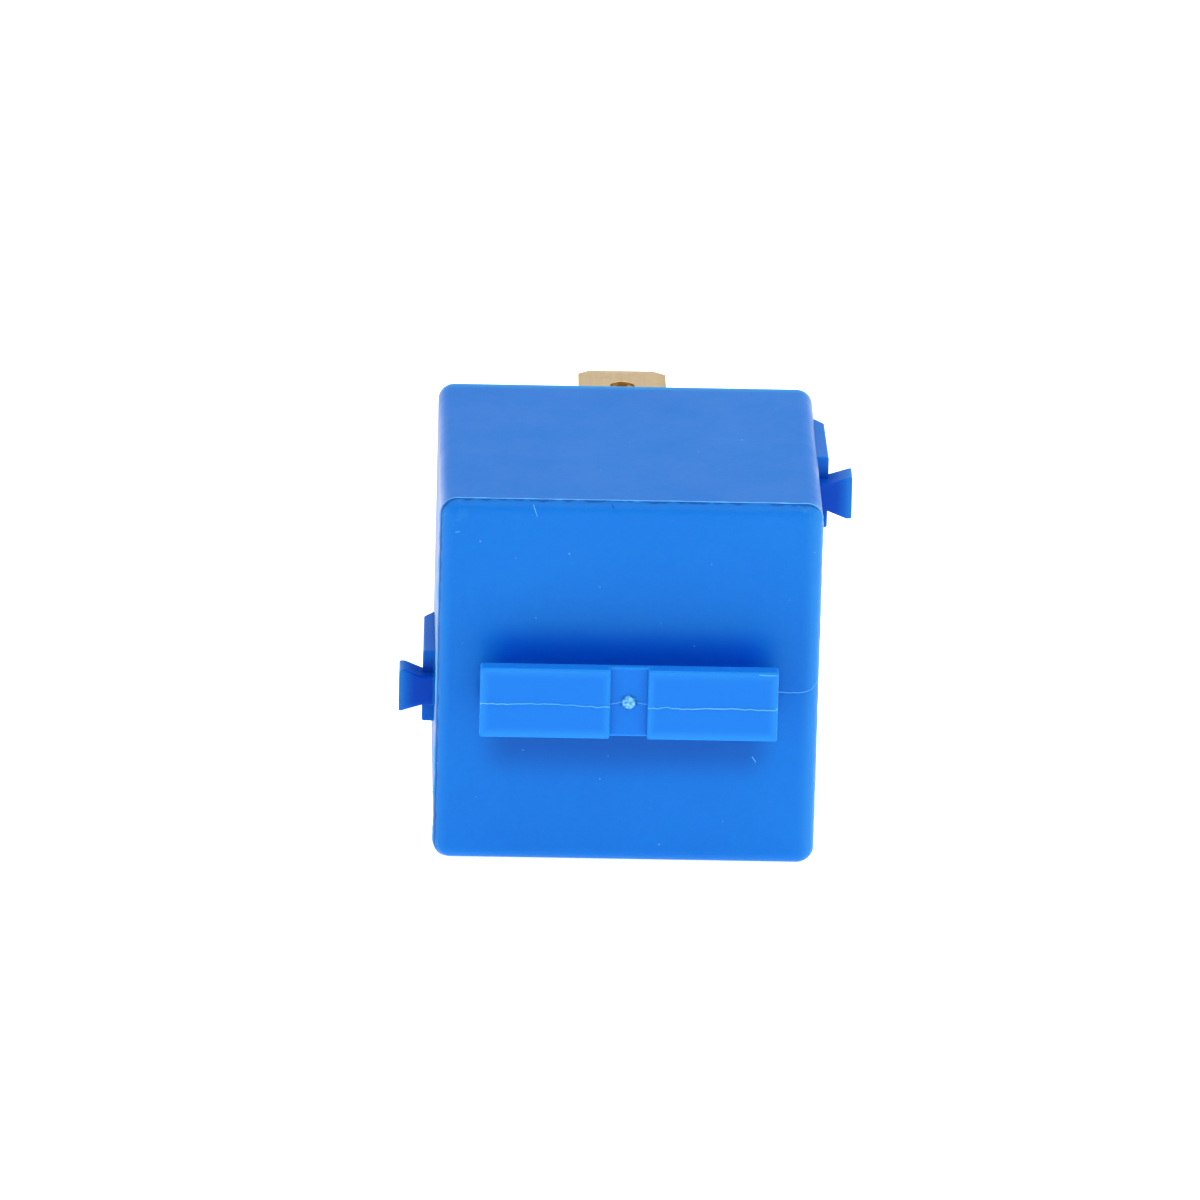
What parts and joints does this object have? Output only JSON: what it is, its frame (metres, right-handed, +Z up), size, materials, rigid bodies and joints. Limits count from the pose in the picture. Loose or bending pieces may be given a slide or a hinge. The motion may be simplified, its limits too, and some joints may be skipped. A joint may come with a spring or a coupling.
{
  "type": "relay",
  "caption": "Cube plug-in changeover relay: blue moulded cover with T-shaped pull grip and side dovetail keys, flat plug blades and a hinged-armature mechanism.",
  "frame": {"origin": "below the middle of the overall outline, at the height of the surface the relay lies on", "axes": "+Y towards the blade tips, +Z up with the relay lying on its side wall, +X to the right seen from the closed end"},
  "size_m": [0.0316, 0.0414, 0.0266],
  "materials": {
    "cover_plastic": "smooth moulded, semi-gloss, slightly translucent blue",
    "base_plastic": "moulded, glass-filled, satin black",
    "tinned_brass": "stamped strip, lightly tinned, satin",
    "soft_iron": "zinc-plated stamping, satin",
    "bobbin_plastic": "moulded, natural off-white",
    "enamelled_copper": "enamelled wire, glossy copper red",
    "spring_bronze": "rolled spring strip, satin",
    "rivet_steel": "upset rivet, satin",
    "contact_silver": "turned silver alloy, satin",
    "spring_steel": "drawn spring wire, bright",
    "bare_copper": "fine stranded, dull",
    "resistor_coating": "lacquered, dull tan",
    "tinned_wire": "tinned wire, bright"
  },
  "bodies": {
    "base_assembly": {"base": "base_plastic", "terminal_30": "tinned_brass", "terminal_85": "tinned_brass", "terminal_86": "tinned_brass", "terminal_87": "tinned_brass", "terminal_87a": "tinned_brass", "yoke": "soft_iron", "core": "soft_iron", "bobbin": "bobbin_plastic", "coil_winding": "enamelled_copper", "coil_lead_85": "enamelled_copper", "coil_lead_86": "enamelled_copper", "contact_87": "contact_silver", "contact_87a": "contact_silver", "return_spring": "spring_steel", "contact_braid": "bare_copper", "resistor_body": "resistor_coating", "resistor_leads": "tinned_wire"},
    "armature_assembly": {"armature": "soft_iron", "contact_leaf": "spring_bronze", "leaf_rivets": "rivet_steel", "moving_contact": "contact_silver"},
    "cover_shell": {"cover": "cover_plastic"}
  },
  "joints": [
    {"name": "armature_hinge", "type": "hinge", "parent": "base_assembly", "child": "armature_assembly", "pos_m": [0, -0.00974, 0.0044], "axis": [-1, 0, 0], "range_deg": [0, 3.2], "stiffness_Nm_per_rad": 0.02, "springref_deg": -5.73, "deforming": ["return_spring", "contact_braid"]},
    {"name": "cover_slide", "type": "slide", "parent": "base_assembly", "child": "cover_shell", "axis": [0, -1, 0], "range_m": [0, 0.03]}
  ]
}
